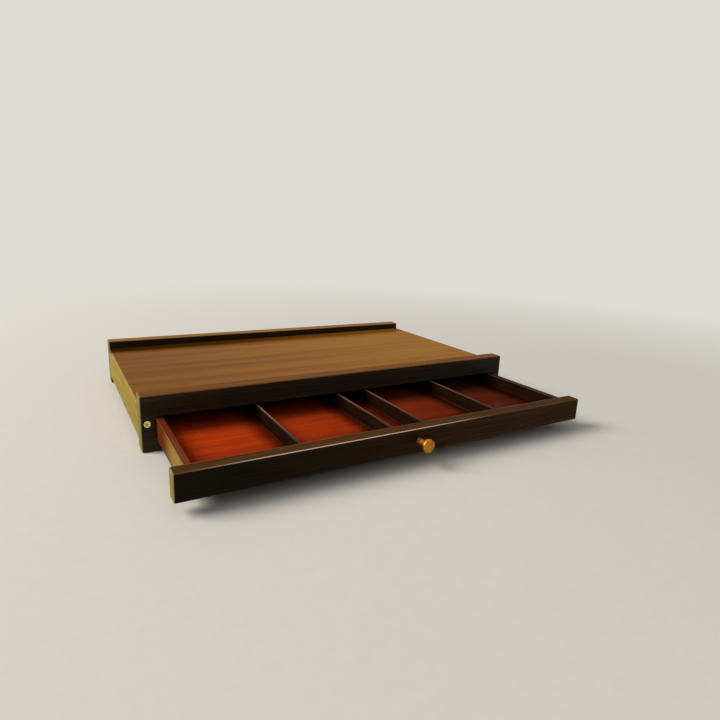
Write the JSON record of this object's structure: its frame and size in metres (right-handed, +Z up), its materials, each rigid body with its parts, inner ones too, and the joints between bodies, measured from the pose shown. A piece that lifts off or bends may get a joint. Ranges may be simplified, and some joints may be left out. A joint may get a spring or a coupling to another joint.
{
  "type": "drawer box",
  "caption": "Low wooden box with a lipped flat top and one wide divided drawer with a small brass knob, for sticks of pastel.",
  "frame": {"origin": "middle of the front board's underside, on the surface that the box stands on", "axes": "+X to the right, +Y to the rear, +Z up; the drawer opens towards -Y"},
  "size_m": [0.405, 0.3685, 0.05],
  "materials": {
    "board_wood": "lacquered dark mahogany stain, fine straight grain",
    "side_wood": "lacquered stain that shows golden in the light",
    "top_wood": "lacquered dark mahogany stain, satin",
    "bottom_wood": "thin stained plywood, matt",
    "inner_wood": "stained hardwood, matt, inside the case",
    "dowel_wood": "bare hardwood dowel",
    "drawer_front_wood": "lacquered dark mahogany stain, fine straight grain",
    "drawer_side_wood": "lacquered red mahogany stain",
    "drawer_floor_wood": "lacquered red mahogany stain on thin plywood",
    "divider_wood": "lacquered red mahogany stain",
    "knob_brass": "turned and polished brass",
    "catch_brass": "turned brass, satin",
    "magnet_metal": "nickel plated magnet",
    "strike_steel": "plated steel",
    "screw_steel": "plated steel"
  },
  "bodies": {
    "case": {"front_board": "board_wood", "rear_board": "board_wood", "left_side": "side_wood", "right_side": "side_wood", "top_panel": "top_wood", "bottom_panel": "bottom_wood", "left_kicker": "inner_wood", "right_kicker": "inner_wood", "case_dowels": "dowel_wood", "left_catch": "catch_brass", "right_catch": "catch_brass", "catch_magnets": "magnet_metal"},
    "drawer": {"drawer_front": "drawer_front_wood", "drawer_left_side": "drawer_side_wood", "drawer_right_side": "drawer_side_wood", "drawer_back": "drawer_side_wood", "drawer_floor": "drawer_floor_wood", "divider_1": "divider_wood", "divider_2": "divider_wood", "divider_3": "divider_wood", "divider_4": "divider_wood", "drawer_stop": "inner_wood", "knob": "knob_brass", "knob_screw": "screw_steel", "strike_plates": "strike_steel"}
  },
  "joints": [
    {"name": "drawer_slide", "type": "slide", "parent": "case", "child": "drawer", "axis": [0, -1, 0], "range_m": [-0.104, 0.094]}
  ]
}
